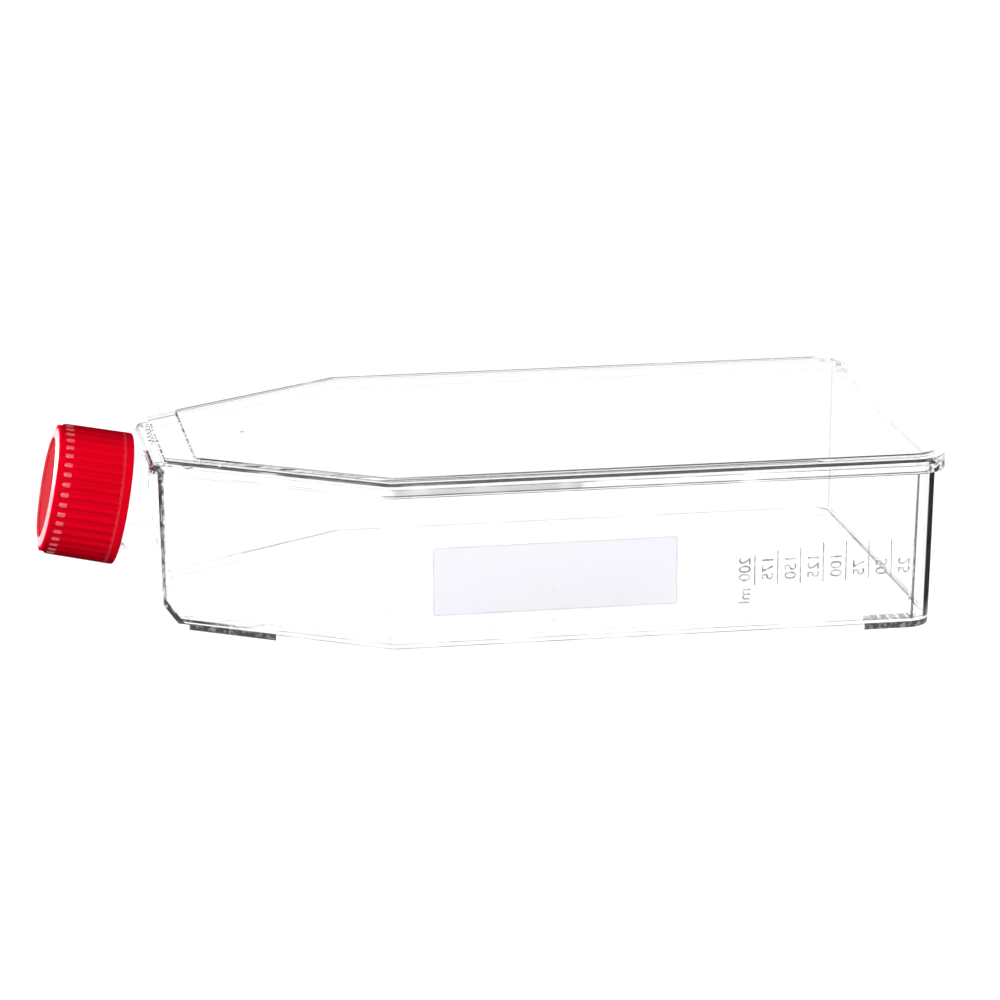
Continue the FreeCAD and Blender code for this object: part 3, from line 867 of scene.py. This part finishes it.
LINE_FIRST = 61.36 * MM
LINE_SPACING = 5.73 * MM
LINE_WIDTH = 0.28 * MM
LINE_FOOT, LINE_HEAD = 13.2 * MM, 23.2 * MM
HEAD_CUTS = {"200": 2.4 * MM, "175": 1.4 * MM, "150": 1.2 * MM}  # the first lines end lower
DIGIT_SIZE = 4.2 * MM
NUMBER_FOOT = 14.2 * MM
NUMBER_GAP = 1.1 * MM
UNIT_FOOT = 8.4 * MM
VOLUMES = ["200", "175", "150", "125", "100", "75", "50", "25"]

print_ink, tree, ink = new_material("scale_ink", {"Roughness": 0.5})
ink_wear_and_rim_gap = object_noise(tree, scale=900.0, detail=2.0)
full_and_worn = [(0.40, (0.22, 0.24, 0.26, 1)), (0.60, (0.66, 0.68, 0.70, 1))]
tree.links.new(ramp_by(tree, ink_wear_and_rim_gap, full_and_worn), ink.inputs["Base Color"])


def printed_text(text, foot, along):
    """Thin print that ends at foot: read downwards, its letters' heads to the left."""
    curve = bpy.data.curves.new(f"print_{text}", "FONT")
    curve.body = text
    curve.size = DIGIT_SIZE
    curve.align_x = "RIGHT"
    curve.extrude = INK / 2
    letters = bpy.data.objects.new(curve.name, curve)
    scene.collection.objects.link(letters)
    graph = bpy.context.evaluated_depsgraph_get()
    flat = bpy.data.meshes.new_from_object(letters.evaluated_get(graph))
    bm = bmesh.new()
    bm.from_mesh(flat)
    bpy.data.objects.remove(letters)
    bpy.data.meshes.remove(flat)
    bmesh.ops.remove_doubles(bm, verts=bm.verts, dist=0.001 * MM)
    bmesh.ops.rotate(bm, cent=(0, 0, 0), matrix=Matrix.Rotation(-pi / 2, 3, "Z"), verts=bm.verts)
    bmesh.ops.scale(bm, vec=(-1, 1, 1), verts=bm.verts)
    bmesh.ops.translate(bm, vec=(along, foot, INK_MIDDLE), verts=bm.verts)
    return bm


def add_print(name, bm):
    """Lay a piece of the scale on the near wall."""
    on_near_wall(bm)
    add_piece(name, bm, "flask", print_ink)


for index, volume in enumerate(VOLUMES):
    line_x = LINE_FIRST + index * LINE_SPACING
    head = LINE_HEAD - HEAD_CUTS.get(volume, 0)
    bar = block((LINE_WIDTH, head - LINE_FOOT, INK), (line_x, (LINE_FOOT + head) / 2, INK_MIDDLE))
    add_print(f"graduation_{volume}", bar)
    add_print(f"number_{volume}", printed_text(volume, NUMBER_FOOT, line_x - NUMBER_GAP))
add_print("unit_ml", printed_text("ml", UNIT_FOOT, LINE_FIRST - NUMBER_GAP))

# ---------------------------------------------------------------- gate mark of the plate
# The small scar where the runner was cut off the cover plate, at the neck end of its panel: the
# same polystyrene, torn and rough.

MARK_SIZE = (1.2 * MM, 0.35 * MM, 0.08 * MM)
MARK_MIDDLE = (-58.4 * MM, -1.5 * MM, PANEL_TOP + 0.05 * MM)
gate_mark = block(MARK_SIZE, MARK_MIDDLE)
bmesh.ops.bevel(
    gate_mark, geom=gate_mark.edges[:], offset=0.02 * MM, segments=2, profile=0.5, affect="EDGES", material=-1
)
scar, tree, rough_cut = new_material(
    "cut_plastic", {"IOR": POLYSTYRENE_IOR, "Transmission Weight": 0.4, "Roughness": 0.6}
)
torn = map_range(tree, object_noise(tree, scale=3000.0), 0.35, 0.65)
deep_and_high = [(0.0, (0.03, 0.03, 0.035, 1)), (1.0, (0.14, 0.14, 0.15, 1))]
tree.links.new(ramp_by(tree, torn, deep_and_high), rough_cut.inputs["Base Color"])
add_piece("plate_gate_mark", gate_mark, "flask", scar)

# ---------------------------------------------------------------- screw cap
# The red cap, moulded in polyethylene with grip ribs and a shallow dish in its face, screwed on the neck. Its
# skin is faintly grained and waxy, and polished on the bevel. Painted shade darkens its colour where it turns
# away and in the dish, and a painted highlight makes the bevel paler.

LAND_REACH = 26.0 * MM  # from the front wall, along the neck, to the outer edge of the bevel
BEVEL_INSIDE = 12.75 * MM
BEVEL_OUTSIDE = 15.1 * MM
RIB_ENDS = (22.9 * MM, 24.6 * MM)
RIB_BACK = (16.15 * MM, 16.35 * MM)  # radius at which a rib's back sets in
SKIRT_STEP = (9.7 * MM, 10.1 * MM)
EDGE_FADE = 0.1 * MM
# Painted shade in the cap's colour: some in the dish of the face, and more where the side turns away, down to
# a small share of the colour.
DISH_SHADE = 0.52
DEEPEST_PAINTED_SHADE = 0.2  # share of the colour that is left where the skin turns away
# Painted highlight: a paler pink added to the red on the bevel.
PAINTED_HIGHLIGHT_PINK = (0.16, 0.30, 0.36)  # added on the bevel
FACE_SHINE = 0.09
RIB_SHINE = 0.32
STEP_SHINE = 0.08
WAXY_SHINE = 0.003

red, tree, skin = new_material(
    "red_polyethylene",
    {
        "Roughness": 0.4,
        "Specular IOR Level": 0.0,
        "Coat IOR": 4.0,
        "Coat Roughness": 0.15,
        "Subsurface Weight": 0.35,
        "Subsurface Radius": (1.0, 0.06, 0.04),
        "Subsurface Scale": 1.2 * MM,
    },
)


def vector_node(tree, operation, inputs):
    """One step of vector arithmetic, with its outputs."""
    return add_node(tree, "VectorMath", inputs, operation=operation).outputs


# How far a point lies along the neck and off its axis
place = add_node(tree, "TexCoord").outputs["Object"]
axis = (-cos(NECK_LEAN), 0, sin(NECK_LEAN))
from_root = vector_node(tree, "SUBTRACT", {0: place, 1: NECK_ROOT})[0]
along = vector_node(tree, "DOT_PRODUCT", {0: from_root, 1: axis})["Value"]
on_axis = vector_node(tree, "SCALE", {0: axis, "Scale": along})[0]
off_axis = vector_node(tree, "SUBTRACT", {0: from_root, 1: on_axis})[0]
radius = vector_node(tree, "LENGTH", {0: off_axis})["Value"]
outward = vector_node(tree, "NORMALIZE", {0: off_axis})[0]

on_bevel = product(
    tree,
    map_range(tree, along, LAND_REACH - EDGE_FADE, LAND_REACH),
    map_range(tree, radius, BEVEL_INSIDE - EDGE_FADE, BEVEL_INSIDE),
    map_range(tree, radius, BEVEL_OUTSIDE, BEVEL_OUTSIDE - 0.5 * MM),
)
on_face = product(
    tree,
    map_range(tree, along, LAND_REACH, LAND_REACH + EDGE_FADE),
    map_range(tree, radius, BEVEL_INSIDE, BEVEL_INSIDE - EDGE_FADE),
)
on_side = map_range(tree, along, LAND_REACH, LAND_REACH - EDGE_FADE)
on_rib_end = product(tree, between(tree, along, *RIB_ENDS, 0.3 * MM), map_range(tree, radius, *RIB_BACK))
on_step = between(tree, along, *SKIRT_STEP, 0.2 * MM)

cloud = object_noise(tree, scale=120.0, detail=3.0)
mottled = ramp_by(tree, cloud, [(0.3, (0.73, 0.0, 0.012, 1)), (0.7, (0.79, 0.0, 0.015, 1))])
# Painted shade: the red is darkened where the side turns away from the eye and, by a fixed share, in the dish
# of the face.
facing = add_node(tree, "LayerWeight", {"Blend": 0.5, "Normal": outward}).outputs["Facing"]
cap_painted_shade = largest(tree, product(tree, facing, on_side), product(tree, on_face, DISH_SHADE))
share_left_by_painted_shade = raised(tree, map_range(tree, cap_painted_shade, 0.28, 1.0), 1.0, DEEPEST_PAINTED_SHADE)
red_with_painted_shade = vector_node(tree, "SCALE", {0: mottled, "Scale": share_left_by_painted_shade})[0]
# Painted highlight: the paler pink on the bevel.
painted_highlight = vector_node(tree, "SCALE", {0: PAINTED_HIGHLIGHT_PINK, "Scale": on_bevel})[0]
tree.links.new(vector_node(tree, "ADD", {0: red_with_painted_shade, 1: painted_highlight})[0], skin.inputs["Base Color"])

shine = largest(
    tree,
    on_bevel,
    math_node(tree, "MULTIPLY", on_face, FACE_SHINE),
    math_node(tree, "MULTIPLY", on_rib_end, RIB_SHINE),
    math_node(tree, "MULTIPLY", on_step, STEP_SHINE),
    WAXY_SHINE,
)
tree.links.new(shine, skin.inputs["Coat Weight"])
grain = object_noise(tree, scale=2500.0, detail=2.0)
bump = add_node(tree, "Bump", {"Strength": 0.08, "Distance": 0.1 * MM, "Height": grain})
tree.links.new(bump.outputs["Normal"], skin.inputs["Normal"])
finish_node("screw_cap", red)

# ---------------------------------------------------------------- cap thread
# The thread moulded inside the cap, of the same red polyethylene: a ridge of a little over two
# turns that stands inwards and runs in the gaps of the neck's thread.

cap_thread = thread_ridge(root=14.25 * MM, crest=12.95 * MM, turns=2.2, phase=pi)
add_piece("cap_thread", cap_thread, "cap", red, NECK_FRAME)

# ---------------------------------------------------------------- sealing disc
# A soft disc of natural, milky polyethylene that lies in the cap against its end wall. A ring
# moulded on it plugs the neck's mouth.

milky, tree, skin = new_material("seal_polyethylene", {"Roughness": 0.45})
cloud = object_noise(tree, scale=200.0, detail=2.0)
thin_and_thick = [(0.3, (0.80, 0.80, 0.78, 1)), (0.7, (0.86, 0.86, 0.84, 1))]
tree.links.new(ramp_by(tree, cloud, thin_and_thick), skin.inputs["Base Color"])
finish_node("cap_seal", milky)
